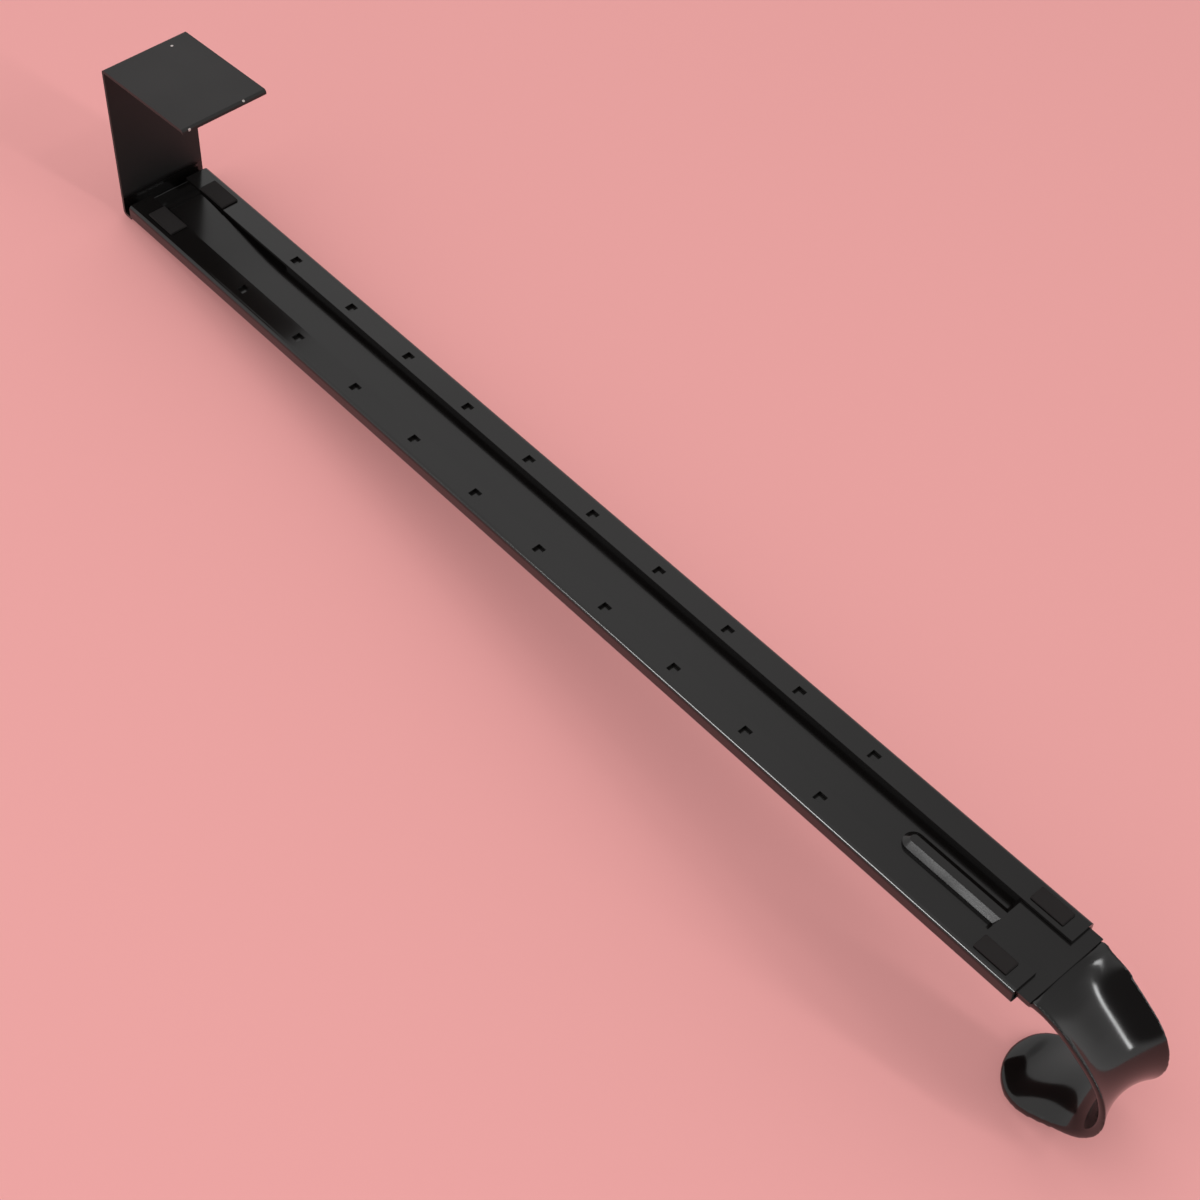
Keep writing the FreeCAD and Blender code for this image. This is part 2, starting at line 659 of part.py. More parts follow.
def make_pad(label, inner, outer, low, high):
    body = new_body(label)
    sketch = new_sketch(body, "XZ_Plane", f"{label}_outline", "pad_lift")
    rectangle(sketch, inner, outer, low, high)
    feature = pad(body, sketch, f"{label}_block", "lip_face", "pad_top", back=True)
    top = [f"Edge{index}" for index, edge in enumerate(feature.Shape.Edges, start=1)
           if abs(edge.BoundBox.YMin - size("pad_top")) < HIDDEN and edge.BoundBox.YLength < HIDDEN]
    bevel = body.newObject("PartDesign::Chamfer", f"{label}_edge")
    bevel.Base = (feature, top)
    bevel.setExpression("Size", "Sizes.pad_edge")
    doc.recompute()
    return body


parts = [
    make_bracket(),
    make_slide(),
    make_hook(),
    make_pad("upper_pad_left", "-upper_pad_outer", "-upper_pad_inner",
             "upper_pad_foot", "upper_pad_top"),
    make_pad("upper_pad_right", "upper_pad_inner", "upper_pad_outer",
             "upper_pad_foot", "upper_pad_top"),
    make_pad("lower_pad_left", "-lower_pad_outer", "-lower_pad_inner",
             "lower_pad_foot", "lower_pad_top"),
    make_pad("lower_pad_right", "lower_pad_inner", "lower_pad_outer",
             "lower_pad_foot", "lower_pad_top"),
]
doc.recompute()

# Checks, then one STEP file for each part

for item in doc.Objects:
    if "Invalid" in item.State or "Error" in item.State:
        raise RuntimeError(f"{item.Label} is not valid")
for first_index, first in enumerate(parts):
    if first.Shape.isNull() or not first.Shape.isValid() or len(first.Shape.Solids) != 1:
        raise RuntimeError(f"{first.Label} is not one sound solid")
    for second in parts[first_index + 1:]:
        shared = first.Shape.common(second.Shape).Volume
        if shared > HIDDEN:
            raise RuntimeError(f"{first.Label} and {second.Label} overlap by {shared:.4f}")

os.makedirs("parts", exist_ok=True)
for part in parts:
    part.Shape.exportStep(f"parts/{part.Label}.step")
    box = part.Shape.BoundBox
    print(part.Label, round(part.Shape.Volume, 1), "mm3",
          [round(value, 2) for value in (box.XMin, box.YMin, box.ZMin, box.XMax, box.YMax, box.ZMax)])
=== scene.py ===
# %% [markdown]
# # An over-the-door hanger in satin black
#
# The hanger is one folded strip of steel. It hooks over a door, and below the hook it is
# bent into a shallow channel with in-turned lips. A flat slide runs in that channel and
# carries a curled hook, so the hanger can be made longer or shorter.
#
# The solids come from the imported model, in metres and already in place. This lesson adds
# the finish that steel, paint and soft pads have, the rounded rims of the hook, the sheet
# that the hanger lies on, its lights and its camera.

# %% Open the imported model
import math

import bmesh
import bpy
from mathutils import Euler, Matrix, Vector


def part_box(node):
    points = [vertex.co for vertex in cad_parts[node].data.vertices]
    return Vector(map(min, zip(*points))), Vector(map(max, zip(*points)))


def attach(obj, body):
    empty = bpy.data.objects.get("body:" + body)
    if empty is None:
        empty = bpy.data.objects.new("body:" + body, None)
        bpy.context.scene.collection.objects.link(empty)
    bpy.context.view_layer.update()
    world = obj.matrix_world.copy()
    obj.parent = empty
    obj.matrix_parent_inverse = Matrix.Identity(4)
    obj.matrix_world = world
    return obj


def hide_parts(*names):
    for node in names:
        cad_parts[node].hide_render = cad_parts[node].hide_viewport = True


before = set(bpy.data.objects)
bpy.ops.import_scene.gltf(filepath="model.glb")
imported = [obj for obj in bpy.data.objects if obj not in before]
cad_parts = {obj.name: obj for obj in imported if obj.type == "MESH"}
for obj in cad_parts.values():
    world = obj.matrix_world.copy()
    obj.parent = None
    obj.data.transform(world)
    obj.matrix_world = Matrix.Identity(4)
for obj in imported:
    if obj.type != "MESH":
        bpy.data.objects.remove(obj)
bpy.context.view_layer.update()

print("solids:", sorted(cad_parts))

# %% [markdown]
# ## The camera
#
# The photograph looks up the strip from behind and below, so the hook comes out large and
# the bracket small. A lens of about 69 mm gives that mild perspective. The place and the
# turn were found by lining up the rows of square holes, which are one inch apart.

# %% Set up the camera
CAMERA_PLACE = (0.26917, 0.42569, -0.46711)
CAMERA_TURN = (127.8505, 41.8417, 177.3199)
LENS_MM = 69.176
SENSOR_MM = 36
SIDE_SHIFT = 0.00468
UP_SHIFT = -0.00138
NEAREST_SEEN = 0.01

lens = bpy.data.cameras.new("photo_lens")
lens.lens = LENS_MM
lens.sensor_width = SENSOR_MM
lens.shift_x = SIDE_SHIFT
lens.shift_y = UP_SHIFT
lens.clip_start = NEAREST_SEEN
camera = bpy.data.objects.new("photo_camera", lens)
camera.location = CAMERA_PLACE
camera.rotation_euler = Euler([math.radians(angle) for angle in CAMERA_TURN])
bpy.context.scene.collection.objects.link(camera)
bpy.context.scene.camera = camera
print("camera at", CAMERA_PLACE, "with a lens of", LENS_MM, "mm")

# %% [markdown]
# ## The sheet it lies on
#
# The hanger lies on its front: the bracket's fold and the curled hook touch a smooth pink
# sheet. Here the hanger stands upright, so the sheet stands behind it, leaning a few
# degrees. The lean is measured on the solids: it is the angle at which a plane hung from
# the fold first meets the hook.

# %% Find the lean of the sheet
FOLD_RADIUS = 0.0015

fold_low, fold_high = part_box("bracket_channel")
fold_front = fold_low.y
fold_top = fold_high.z - FOLD_RADIUS
lean = max(
    math.atan2(fold_front - vertex.co.y, fold_top - vertex.co.z)
    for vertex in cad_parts["hook"].data.vertices
)
print("the sheet leans", round(math.degrees(lean), 2), "degrees")

# %% Make the sheet
SHEET_REACH = 3.0
SHEET_GAP = 0.0002

down_sheet = Vector((0, -math.sin(lean), -math.cos(lean)))
across_sheet = Vector((-1, 0, 0))
towards_camera = Vector((0, math.cos(lean), -math.sin(lean)))
middle = Vector((0, fold_front, fold_top)) - towards_camera * SHEET_GAP
corners = [
    middle + down_sheet * SHEET_REACH * one + across_sheet * SHEET_REACH * other
    for one, other in ((1, 1), (-1, 1), (-1, -1), (1, -1))
]
sheet_mesh = bpy.data.meshes.new("pink_sheet")
sheet_mesh.from_pydata(corners, [], [(0, 1, 2, 3)])
pink_sheet = bpy.data.objects.new("pink_sheet", sheet_mesh)
bpy.context.scene.collection.objects.link(pink_sheet)
if sheet_mesh.polygons[0].normal.dot(towards_camera) < 0:
    sheet_mesh.flip_normals()
print("sheet faces", [round(value, 3) for value in sheet_mesh.polygons[0].normal])

# %% [markdown]
# ## Helpers for materials
#
# Each finish is a node tree. A few small helpers keep the later cells short. They start a
# material, add a node with its values, join two sockets, do a sum on sockets and numbers,
# give the place of a surface point, and name the sockets of a group.

# %% Start a material, add a node, join two sockets
def start_material(name):
    """An empty material, its tree and its Principled shader."""
    material = bpy.data.materials.new(name)
    material.use_nodes = True
    tree = material.node_tree
    tree.nodes.clear()
    output = tree.nodes.new("ShaderNodeOutputMaterial")
    shader = tree.nodes.new("ShaderNodeBsdfPrincipled")
    tree.links.new(shader.outputs["BSDF"], output.inputs["Surface"])
    return material, tree, shader


def add(tree, kind, settings=None, **values):
    """A node with its settings and the values of its sockets."""
    node = tree.nodes.new(kind)
    for name, value in (settings or {}).items():
        setattr(node, name, value)
    for name, value in values.items():
        node.inputs[name.replace("_", " ")].default_value = value
    return node


def join(tree, source, target):
    """A link from one socket to another."""
    tree.links.new(source, target)


print("helpers for materials and nodes are ready")


# %% Sums, surface points and sockets of groups
def maths(tree, operation, *values, clamp=False):
    """The result of a Math node that is fed with sockets or plain numbers."""
    node = add(tree, "ShaderNodeMath", {"operation": operation, "use_clamp": clamp})
    for socket, value in zip(node.inputs, values):
        if isinstance(value, float):
            socket.default_value = value
        else:
            join(tree, value, socket)
    return node.outputs[0]


def object_place(tree):
    """Sockets X, Y and Z of the surface point, in the object's own axes."""
    place = tree.nodes.new("ShaderNodeTexCoord")
    split = tree.nodes.new("ShaderNodeSeparateXYZ")
    join(tree, place.outputs["Object"], split.inputs["Vector"])
    return split.outputs


def add_sockets(group, way, kind="NodeSocketFloat", **values):
    """Named inputs with their first values, or named outputs."""
    for name, value in values.items():
        title = name.replace("_", " ")
        socket = group.interface.new_socket(title, in_out=way, socket_type=kind)
        if value is not None:
            socket.default_value = value


print("helpers for sums and groups are ready")

# %% [markdown]
# ## Grain, used by every finish
#
# Sprayed paint is never quite flat, and foam has pores. Both are noise at some scale, so
# one group serves them all. It gives a fine height for a bump and a slow, cloudy value
# that changes the gloss or the colour a little from place to place.

# %% Build the grain group
def build_grain():
    group = bpy.data.node_groups.new("paint_grain", "ShaderNodeTree")
    add_sockets(group, "INPUT", Fine_Scale=2500.0, Cloud_Scale=60.0, Detail=3.0)
    add_sockets(group, "OUTPUT", Height=None, Cloud=None)
    start = group.nodes.new("NodeGroupInput")
    end = group.nodes.new("NodeGroupOutput")
    place = group.nodes.new("ShaderNodeTexCoord")
    fine = add(group, "ShaderNodeTexNoise", Roughness=0.55)
    cloud = add(group, "ShaderNodeTexNoise", Detail=2.0, Roughness=0.5)
    for noise, name in ((fine, "Fine Scale"), (cloud, "Cloud Scale")):
        join(group, place.outputs["Object"], noise.inputs["Vector"])
        join(group, start.outputs[name], noise.inputs["Scale"])
    join(group, start.outputs["Detail"], fine.inputs["Detail"])
    join(group, fine.outputs["Fac"], end.inputs["Height"])
    join(group, cloud.outputs["Fac"], end.inputs["Cloud"])
    return group


grain_group = build_grain()
print("grain group:", [item.name for item in grain_group.interface.items_tree])

# %% [markdown]
# The grain goes on a material in one way each time: its height feeds a bump, and its
# clouds move the roughness between a smooth and a rough end. The clouds also mix two
# shades of the colour. Noise stays near its middle, so only that part is spread out.

# %% Lay the grain on a material
CLOUD_SPREAD = (0.3, 0.7)


def lay_grain(tree, shader, fine_scale, cloud_scale, depth, smooth, rough):
    """Bumps the surface and moves its roughness between smooth and rough."""
    grain = tree.nodes.new("ShaderNodeGroup")
    grain.node_tree = grain_group
    grain.inputs["Fine Scale"].default_value = fine_scale
    grain.inputs["Cloud Scale"].default_value = cloud_scale
    bump = add(tree, "ShaderNodeBump", Strength=1.0, Distance=depth)
    join(tree, grain.outputs["Height"], bump.inputs["Height"])
    join(tree, bump.outputs["Normal"], shader.inputs["Normal"])
    gloss = add(tree, "ShaderNodeMapRange", From_Min=CLOUD_SPREAD[0], From_Max=CLOUD_SPREAD[1],
                To_Min=smooth, To_Max=rough)
    join(tree, grain.outputs["Cloud"], gloss.inputs["Value"])
    join(tree, gloss.outputs["Result"], shader.inputs["Roughness"])
    return grain


def cloudy_colour(tree, grain, darker, lighter):
    """A colour that drifts between two shades."""
    blend = add(tree, "ShaderNodeMix", {"data_type": "RGBA"})
    blend.inputs["A"].default_value = (*darker, 1)
    blend.inputs["B"].default_value = (*lighter, 1)
    join(tree, grain.outputs["Cloud"], blend.inputs["Factor"])
    return blend.outputs["Result"]


print("clouds are spread from", CLOUD_SPREAD)

# %% [markdown]
# ## Chips in the paint
#
# The flap's free end has lost a few flakes of paint, and bright steel shows there. A chip
# is a small ball around a point, with its edge made ragged by noise. The group gives 1
# inside the ball and 0 outside, and each chip has its own place and size.

# %% Build the chip group
FLAKE_SCALE = 2200.0


def build_chip():
    group = bpy.data.node_groups.new("paint_chip", "ShaderNodeTree")
    add_sockets(group, "INPUT", "NodeSocketVector", Place=None)
    add_sockets(group, "INPUT", Radius=0.0006, Ragged=0.5)
    add_sockets(group, "OUTPUT", Mask=None)
    start = group.nodes.new("NodeGroupInput")
    end = group.nodes.new("NodeGroupOutput")
    here = group.nodes.new("ShaderNodeTexCoord")
    away = add(group, "ShaderNodeVectorMath", {"operation": "DISTANCE"})
    join(group, here.outputs["Object"], away.inputs[0])
    join(group, start.outputs["Place"], away.inputs[1])
    flake = add(group, "ShaderNodeTexNoise", Scale=FLAKE_SCALE, Detail=2.0)
    join(group, here.outputs["Object"], flake.inputs["Vector"])
    centred = maths(group, "SUBTRACT", flake.outputs["Fac"], 0.5)
    wobble = maths(group, "MULTIPLY", centred, start.outputs["Ragged"])
    reach = maths(group, "ADD", wobble, 1.0)
    edge = maths(group, "MULTIPLY", reach, start.outputs["Radius"])
    inside = maths(group, "LESS_THAN", away.outputs["Value"], edge)
    join(group, inside, end.inputs["Mask"])
    return group


chip_group = build_chip()
print("chip group:", [item.name for item in chip_group.interface.items_tree])

# %% [markdown]
# ## The lips' slight flare
#
# Near the top the channel's lips stand up a little at their inner edges, by about half a
# millimetre, as rolled steel does near a cut. The near lip then mirrors the dark flap
# and looks black. The tilt is too small to see in the outline, so a bump carries it: its
# height falls from the slot towards the bend, and it fades out down the strip. Only the
# lips' outer faces are tilted, so the group compares the point's depth with that face.

# %% Build the flare group
FLARE_SLOPE = 0.085
FLARE_EDGE = 0.0125
FLARE_FADE = (-0.125, -0.095)
LIP_FACE = -0.023
LIP_BAND = 0.0004


def build_flare():
    group = bpy.data.node_groups.new("lip_flare", "ShaderNodeTree")
    add_sockets(group, "INPUT", Slope=FLARE_SLOPE)
    add_sockets(group, "OUTPUT", Height=None)
    start = group.nodes.new("NodeGroupInput")
    end = group.nodes.new("NodeGroupOutput")
    place = object_place(group)
    sideways = maths(group, "ABSOLUTE", place["X"])
    height = maths(group, "SUBTRACT", FLARE_EDGE, sideways, clamp=True)
    fade = add(group, "ShaderNodeMapRange", From_Min=FLARE_FADE[0], From_Max=FLARE_FADE[1])
    join(group, place["Z"], fade.inputs["Value"])
    on_lip = maths(group, "COMPARE", place["Y"], LIP_FACE, LIP_BAND)
    for share in (fade.outputs["Result"], on_lip, start.outputs["Slope"]):
        height = maths(group, "MULTIPLY", height, share)
    join(group, height, end.inputs["Height"])
    return group


flare_group = build_flare()
print("flare group:", [item.name for item in flare_group.interface.items_tree])

# %% [markdown]
# ## Satin black paint
#
# The bracket and the slide are sprayed satin black. Black paint shows mostly what it
# mirrors, so its base colour is close to black, and a low roughness keeps the edges of
# what it mirrors fairly sharp, as in the photograph.
#
# The bracket gets three things more. The flare's bump goes in under the grain's bump. The
# folded top looks duller than the channel, so the roughness rises there. Chips mix in
# bare steel.

# %% Flare the lips and dull the fold
FOLD_START = (-0.0225, -0.0205)
FOLD_DULL = 0.42


def flare_lips(tree, shader):
    """Puts the flare's bump under the grain's bump."""
    flare = tree.nodes.new("ShaderNodeGroup")
    flare.node_tree = flare_group
    tilt = add(tree, "ShaderNodeBump", Strength=1.0, Distance=1.0)
    join(tree, flare.outputs["Height"], tilt.inputs["Height"])
    grain_bump = shader.inputs["Normal"].links[0].from_node
    join(tree, tilt.outputs["Normal"], grain_bump.inputs["Normal"])


def dull_fold(tree, shader):
    """Adds roughness from the plane of the lips towards the flap."""
    gloss = shader.inputs["Roughness"].links[0].from_socket
    dull = add(tree, "ShaderNodeMapRange", From_Min=FOLD_START[0], From_Max=FOLD_START[1],
               To_Min=0.0, To_Max=FOLD_DULL)
    join(tree, object_place(tree)["Y"], dull.inputs["Value"])
    join(tree, maths(tree, "ADD", gloss, dull.outputs["Result"]), shader.inputs["Roughness"])


print("the fold's roughness rises by", FOLD_DULL)

# %% Chip the paint
BARE_STEEL = (0.48, 0.43, 0.41, 1)
CHIPS = [
    ((0.0116, 0.0258, -0.0378), 0.00045),
    ((-0.0065, 0.0264, -0.0376), 0.0004),
    ((-0.0070, 0.0242, -0.0030), 0.0004),
]


def chip_paint(tree, colour, chips):
    """The paint's colour with bare steel in each chip, given as place and radius."""
    metal = None
    for place, radius in chips:
        chip = tree.nodes.new("ShaderNodeGroup")
        chip.node_tree = chip_group
        chip.inputs["Place"].default_value = place
        chip.inputs["Radius"].default_value = radius
        mask = chip.outputs["Mask"]
        metal = mask if metal is None else maths(tree, "MAXIMUM", metal, mask)
    bare = add(tree, "ShaderNodeMix", {"data_type": "RGBA"})
    bare.inputs["B"].default_value = BARE_STEEL
    join(tree, colour, bare.inputs["A"])
    join(tree, metal, bare.inputs["Factor"])
    return bare.outputs["Result"]


print("chips:", len(CHIPS))

# %% Mix the satin paints
FINISH_IOR = 1.5
SATIN_DARK = (0.0040, 0.0034, 0.0032)
SATIN_PALE = (0.0056, 0.0048, 0.0045)
BRACKET_GRAIN = 0.0000006
SLIDE_GRAIN = 0.0000001


def satin_paint(name, depth):
    """Plain satin black with a grain of some depth, and the socket of its colour."""
    material, tree, shader = start_material(name)
    shader.inputs["IOR"].default_value = FINISH_IOR
    grain = lay_grain(tree, shader, fine_scale=1800.0, cloud_scale=45.0, depth=depth,
                      smooth=0.13, rough=0.19)
    colour = cloudy_colour(tree, grain, SATIN_DARK, SATIN_PALE)
    join(tree, colour, shader.inputs["Base Color"])
    return material, tree, shader, colour


bracket_paint, tree, shader, colour = satin_paint("satin_bracket_paint", BRACKET_GRAIN)
flare_lips(tree, shader)
dull_fold(tree, shader)
join(tree, chip_paint(tree, colour, CHIPS), shader.inputs["Base Color"])
slide_paint = satin_paint("satin_slide_paint", SLIDE_GRAIN)[0]
print("satin paints:", bracket_paint.name, slide_paint.name)

# %% [markdown]
# ## Glossy black for the hook
#
# The hook is smoother than the strip: its highlights are narrow and its dark parts are
# deep. The same grain, wider and very shallow, keeps it from looking like glass.

# %% Mix the hook's gloss
HOOK_DARK = (0.0036, 0.0030, 0.0029)
HOOK_PALE = (0.0052, 0.0044, 0.0042)

hook_gloss, tree, shader = start_material("hook_gloss")
shader.inputs["IOR"].default_value = FINISH_IOR
grain = lay_grain(tree, shader, fine_scale=900.0, cloud_scale=70.0, depth=0.000001,
                  smooth=0.10, rough=0.15)
join(tree, cloudy_colour(tree, grain, HOOK_DARK, HOOK_PALE), shader.inputs["Base Color"])
print("gloss mixed:", hook_gloss.name)

# %% [markdown]
# ## Matte foam for the pads
#
# The four pads look the same dark brown-grey from top to bottom of the strip, so they
# mirror nothing. They get a high roughness, less reflection and a finer, deeper grain.

# %% Mix the pads' foam
FOAM_DARK = (0.010, 0.0082, 0.0080)
FOAM_PALE = (0.016, 0.0134, 0.0130)
FOAM_SPECULAR = 0.25

pad_foam, tree, shader = start_material("pad_foam")
shader.inputs["IOR"].default_value = FINISH_IOR
shader.inputs["Specular IOR Level"].default_value = FOAM_SPECULAR
grain = lay_grain(tree, shader, fine_scale=3800.0, cloud_scale=300.0, depth=0.00003,
                  smooth=0.82, rough=0.95)
join(tree, cloudy_colour(tree, grain, FOAM_DARK, FOAM_PALE), shader.inputs["Base Color"])
print("foam mixed:", pad_foam.name)

# %% [markdown]
# ## Pink card for the sheet
#
# The sheet is smooth and matte, and is seen only from its lit side. Its back lets the
# view and the light through, so the hanger's front can be looked at as well.

# %% Mix the sheet's card
SHEET_PINK = (0.855, 0.378, 0.368)
SHEET_CLOUD = 0.985
SHEET_SPECULAR = 0.2

card, tree, shader = start_material("pink_card")
grain = lay_grain(tree, shader, fine_scale=1200.0, cloud_scale=4.0, depth=0.000004,
                  smooth=0.75, rough=0.9)
shader.inputs["Specular IOR Level"].default_value = SHEET_SPECULAR
deeper = tuple(channel * SHEET_CLOUD for channel in SHEET_PINK)
join(tree, cloudy_colour(tree, grain, deeper, SHEET_PINK), shader.inputs["Base Color"])

surface = shader.outputs["BSDF"].links[0].to_socket
side = tree.nodes.new("ShaderNodeNewGeometry")
clear = tree.nodes.new("ShaderNodeBsdfTransparent")
either = tree.nodes.new("ShaderNodeMixShader")
join(tree, side.outputs["Backfacing"], either.inputs["Fac"])
join(tree, shader.outputs["BSDF"], either.inputs[1])
join(tree, clear.outputs["BSDF"], either.inputs[2])
join(tree, either.outputs["Shader"], surface)
sheet_mesh.materials.append(card)
print("card mixed:", card.name)

# %% [markdown]
# ## Round the hook's rims
#
# The hook is pressed from thick sheet and its rims are smooth all round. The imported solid
# has square rims, so the hook gets a skin of its own: a fine voxel mesh of the same
# solid, smoothed until the rims are round. It stays on the slide's body.

# %% Skin the hook
RIM_VOXEL = 0.00035
RIM_PASSES = 24

hook_skin = bpy.data.objects.new("hook_skin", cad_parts["hook"].data.copy())
bpy.context.scene.collection.objects.link(hook_skin)
voxels = hook_skin.modifiers.new("voxels", "REMESH")
voxels.mode = "VOXEL"
voxels.voxel_size = RIM_VOXEL
voxels.use_smooth_shade = True
round_rims = hook_skin.modifiers.new("round_rims", "SMOOTH")
round_rims.factor = 0.5
round_rims.iterations = RIM_PASSES
hook_skin.data.materials.clear()
hook_skin.data.materials.append(hook_gloss)
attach(hook_skin, "slide")
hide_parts("hook")
print("hook skinned with voxels of", RIM_VOXEL * 1000, "mm")

# %% [markdown]
# ## Lean the rib's flanks
#
# The pressed rib at the slide's lower end has broad flanks that lean at about 36 degrees,
# so the near one catches the lamp's edge and shines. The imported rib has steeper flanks.
# The slide gets a skin too: a copy of the solid whose rib corners move to the leaning
# profile, while its height, its top and all the rest stay.
#
# Each profile is a list of corners from the rib's foot to its top: how far out from the
# middle line, and at what depth. Round the rib's nose, out is the distance from the
# nose's centre, so one rule moves the straight flanks and the round end alike. At the
# other end the rib runs into the slide's slanted step, and corners on it stay on it.

# %% Describe the rib
RIB_NOSE = -0.3031
RIB_START = -0.2990
RIB_CLOSE = 0.00335
PACKED_RIB = [(0.00330, -0.02625), (0.00230, -0.02575), (0.00115, -0.02405)]
LEANING_RIB = [(0.00295, -0.02625), (0.00280, -0.02526), (0.00115, -0.02405)]
STEP_FOOT = -0.3295
STEP_SLANT = 0.0015 / 0.0022
NEAR = 0.00003
ON_PROFILE = 3 * NEAR

rib_low = PACKED_RIB[0][1]
rib_high = PACKED_RIB[2][1]


def step_at(depth):
    """How far up the slide the slanted step lies at some depth."""
    return STEP_FOOT - (depth - rib_low) * STEP_SLANT


print("rib height:", round((rib_high - rib_low) * 1000, 2), "mm")


# %% Lean one corner of the rib
def lean_corner(x, y, z):
    """The corner's new place, or None where it isn't a corner of the rib."""
    ahead = max(z - RIB_NOSE, 0)
    out = math.hypot(x, ahead)
    beside = z > RIB_START or abs(x) > RIB_CLOSE or out < NEAR
    if beside or not rib_low - NEAR < y < rib_high - NEAR:
        return None
    stage = 0 if y < PACKED_RIB[1][1] - NEAR else 1
    (out_a, y_a), (out_b, y_b) = PACKED_RIB[stage:stage + 2]
    share = (y - y_a) / (y_b - y_a)
    if abs(out - (out_a + (out_b - out_a) * share)) > ON_PROFILE:
        return None
    (new_a, rise_a), (new_b, rise_b) = LEANING_RIB[stage:stage + 2]
    grow = (new_a + (new_b - new_a) * share) / out
    new_y = rise_a + (rise_b - rise_a) * share
    on_step = abs(z - step_at(y)) < NEAR
    new_z = step_at(new_y) if on_step else z - ahead + ahead * grow
    return x * grow, new_y, new_z


slide_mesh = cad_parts["slide_strip"].data.copy()
moved = 0
for vertex in slide_mesh.vertices:
    leaning = lean_corner(*vertex.co)
    if leaning:
        vertex.co = leaning
        moved += 1
print("rib corners moved:", moved)

# %% [markdown]
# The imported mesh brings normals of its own, which no longer fit the rib. The copy is
# welded and shaded smooth afresh, and stays sharp wherever it bends by more than a small
# angle.

# %% Skin the slide
WELD_REACH = NEAR / 30
SHARP_ANGLE = 28

skin = bmesh.new()
skin.from_mesh(slide_mesh)
bmesh.ops.remove_doubles(skin, verts=skin.verts, dist=WELD_REACH)
skin.to_mesh(slide_mesh)
skin.free()
if slide_mesh.attributes.get("custom_normal"):
    slide_mesh.attributes.remove(slide_mesh.attributes["custom_normal"])
slide_mesh.shade_smooth()
slide_mesh.set_sharp_from_angle(angle=math.radians(SHARP_ANGLE))
slide_mesh.materials.clear()
slide_mesh.materials.append(slide_paint)
slide_skin = bpy.data.objects.new("slide_skin", slide_mesh)
bpy.context.scene.collection.objects.link(slide_skin)
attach(slide_skin, "slide")
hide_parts("slide_strip")
print("slide skinned with", len(slide_mesh.polygons), "faces")

# %% [markdown]
# ## Dress the bracket and the pads
#
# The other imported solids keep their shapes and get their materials. Cut foam has no knife
# edges, so on each pad a weld joins the solid's faces and a small bevel rounds the rims.
# Both are modifiers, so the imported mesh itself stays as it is.

# %% Put the paint and the foam on
PADS = ("upper_pad_left", "upper_pad_right", "lower_pad_left", "lower_pad_right")
PAD_ROUND = 0.0003
PAD_STEPS = 3
PAD_ANGLE = 40


def dress(node, material):
    """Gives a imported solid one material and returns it."""
    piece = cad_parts[node]
    piece.data.materials.clear()
    piece.data.materials.append(material)
    for polygon in piece.data.polygons:
        polygon.material_index = 0
    return piece


dress("bracket_channel", bracket_paint)
for pad in PADS:
    piece = dress(pad, pad_foam)
    weld = piece.modifiers.new("weld", "WELD")
    weld.merge_threshold = WELD_REACH
    rims = piece.modifiers.new("soft_rims", "BEVEL")
    rims.width = PAD_ROUND
    rims.segments = PAD_STEPS
    rims.limit_method = "ANGLE"
    rims.angle_limit = math.radians(PAD_ANGLE)
print("dressed the bracket and", len(PADS), "pads")

# %% [markdown]
# ## Light
#
# The photograph has soft light from all round, a fairly faint shadow on the near side of
# the strip, and narrow bright streaks on the hook and on the strip's near bend. A pale
# world gives the even light. Two sides of it are dim: one low on the left, which the
# strip's lower end mirrors, and a darker one low on the right, which the far wing of the
# hook mirrors. The camera itself sees the plain pale world.
#
# Each dim side has its direction, the edge over which it darkens, as the cosine of the
# angle from that direction, and its strength in the middle.

# %% Set the world
WORLD_PALE = 0.84
WORLD_TINT = (1.0, 0.99, 0.985, 1)
DIM_SIDES = [
    ((-0.66, 0.70, -0.15), (0.80, 0.93), 0.50),
    ((0.30, 0.55, -0.78), (0.76, 0.90), 0.10),
]

world = bpy.data.worlds.new("studio_air")
bpy.context.scene.world = world
world.use_nodes = True
sky = world.node_tree
air = sky.nodes["Background"]
air.inputs["Color"].default_value = WORLD_TINT
way = sky.nodes.new("ShaderNodeTexCoord")
strength = None
for direction, edge, dim in DIM_SIDES:
    towards = add(sky, "ShaderNodeVectorMath", {"operation": "DOT_PRODUCT"})
    towards.inputs[1].default_value = Vector(direction).normalized()
    join(sky, way.outputs["Generated"], towards.inputs[0])
    dimmer = add(sky, "ShaderNodeMapRange", {"interpolation_type": "SMOOTHSTEP"},
                 From_Min=edge[0], From_Max=edge[1], To_Min=WORLD_PALE, To_Max=dim)
    join(sky, towards.outputs["Value"], dimmer.inputs["Value"])
    dimmed = dimmer.outputs["Result"]
    strength = dimmed if strength is None else maths(sky, "MINIMUM", strength, dimmed)
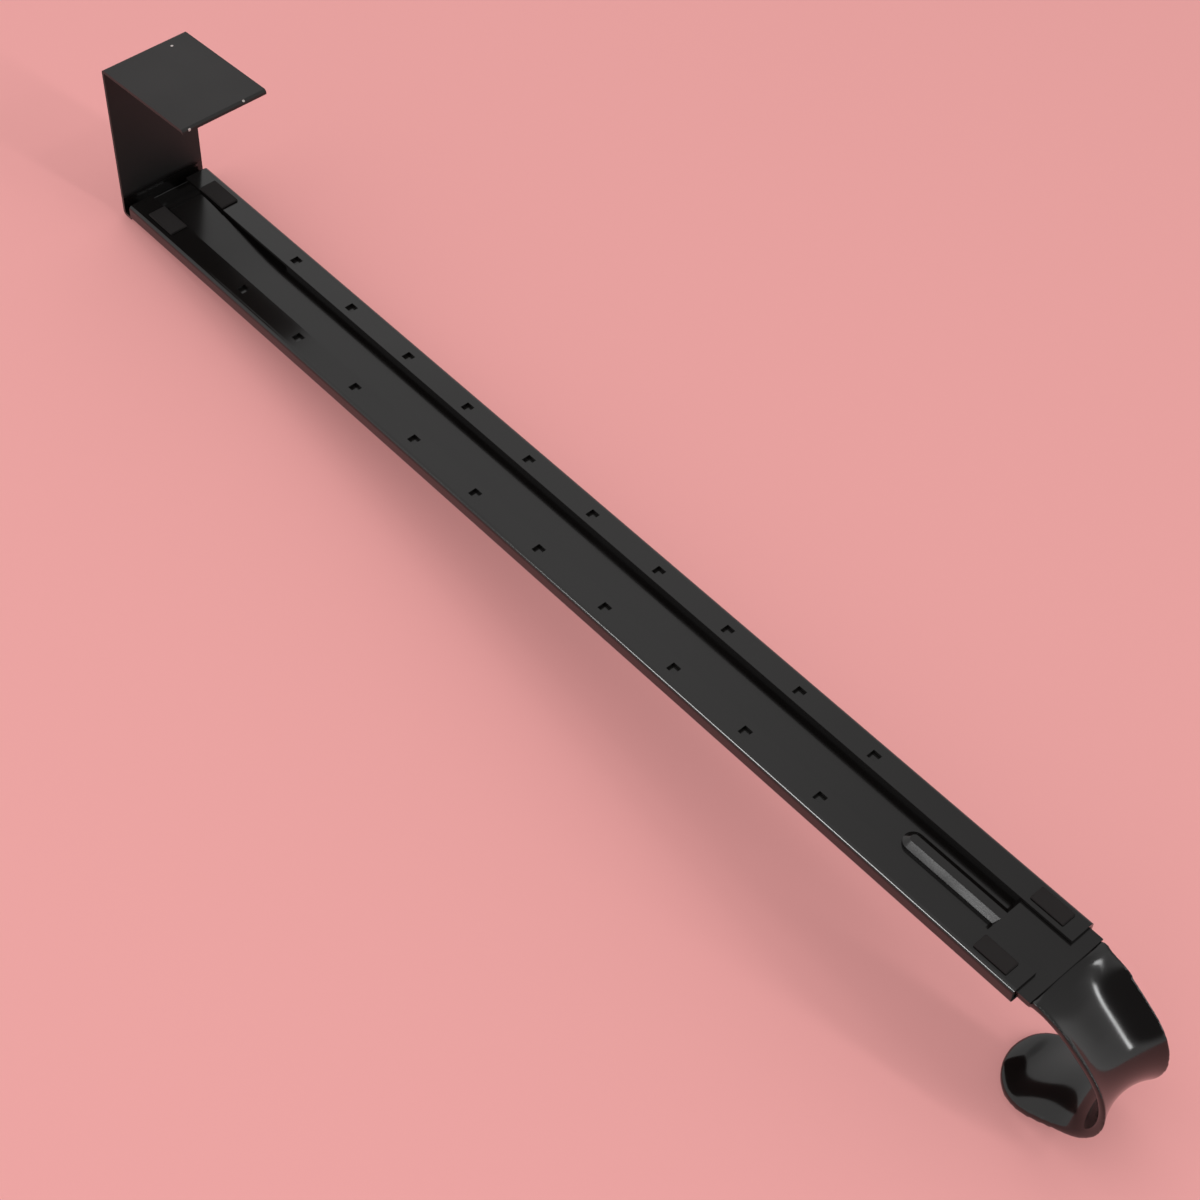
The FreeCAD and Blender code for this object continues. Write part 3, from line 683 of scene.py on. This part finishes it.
ray = sky.nodes.new("ShaderNodeLightPath")
seen = add(sky, "ShaderNodeMix", {"data_type": "FLOAT"})
seen.inputs["B"].default_value = WORLD_PALE
join(sky, ray.outputs["Is Camera Ray"], seen.inputs["Factor"])
join(sky, strength, seen.inputs["A"])
join(sky, seen.outputs["Result"], air.inputs["Strength"])
print("world strength", WORLD_PALE, "with", len(DIM_SIDES), "dim sides")

# %% [markdown]
# A tube lamp on the left gives the shadow and the long streak down the hook, and a small
# lamp above it gives the short glint at the hook's root. A softbox on the right gives the
# streak along the bend. It casts no shadow, so the shadow on the near side stays as light
# as in the photograph.
#
# Each lamp has its direction from the strip's lower part, its distance in metres, the way
# its long side runs, its width and length, and its power.

# %% Hang the lamps
AIM = Vector((0, -0.03, -0.30))
LAMPS = {
    "left_tube": ((-0.28, 0.48, -0.83), 1.6, (-0.05, -0.80, -0.60), (0.09, 1.1), 4.6),
    "root_lamp": ((-0.16, 0.89, -0.43), 1.6, (1, 0, 0), (0.12, 0.2), 0.9),
    "right_softbox": ((0.74, 0.58, 0.34), 2.6, (0.05, -0.3, 0.95), (0.52, 0.78), 27.0),
}


def hang_lamp(name, direction, distance, along, size, watts):
    """A flat lamp that looks at the strip's lower part."""
    light = bpy.data.lights.new(name, "AREA")
    light.shape = "RECTANGLE"
    light.size_y, light.size = size
    light.energy = watts
    middle = AIM + Vector(direction) * distance
    back = (middle - AIM).normalized()
    side = (Vector(along) - back * Vector(along).dot(back)).normalized()
    turn = Matrix((side, back.cross(side), back)).transposed()
    lamp = bpy.data.objects.new(name, light)
    lamp.matrix_world = Matrix.Translation(middle) @ turn.to_4x4()
    bpy.context.scene.collection.objects.link(lamp)
    return lamp


lamps = {name: hang_lamp(name, *plan) for name, plan in LAMPS.items()}
lamps["right_softbox"].data.use_shadow = False
print("lamps hung:", sorted(lamps))

# %% [markdown]
# The Standard view shows each colour as it is written, with no film look.

# %% Set the view
bpy.context.scene.view_settings.view_transform = "Standard"
print("view transform:", bpy.context.scene.view_settings.view_transform)
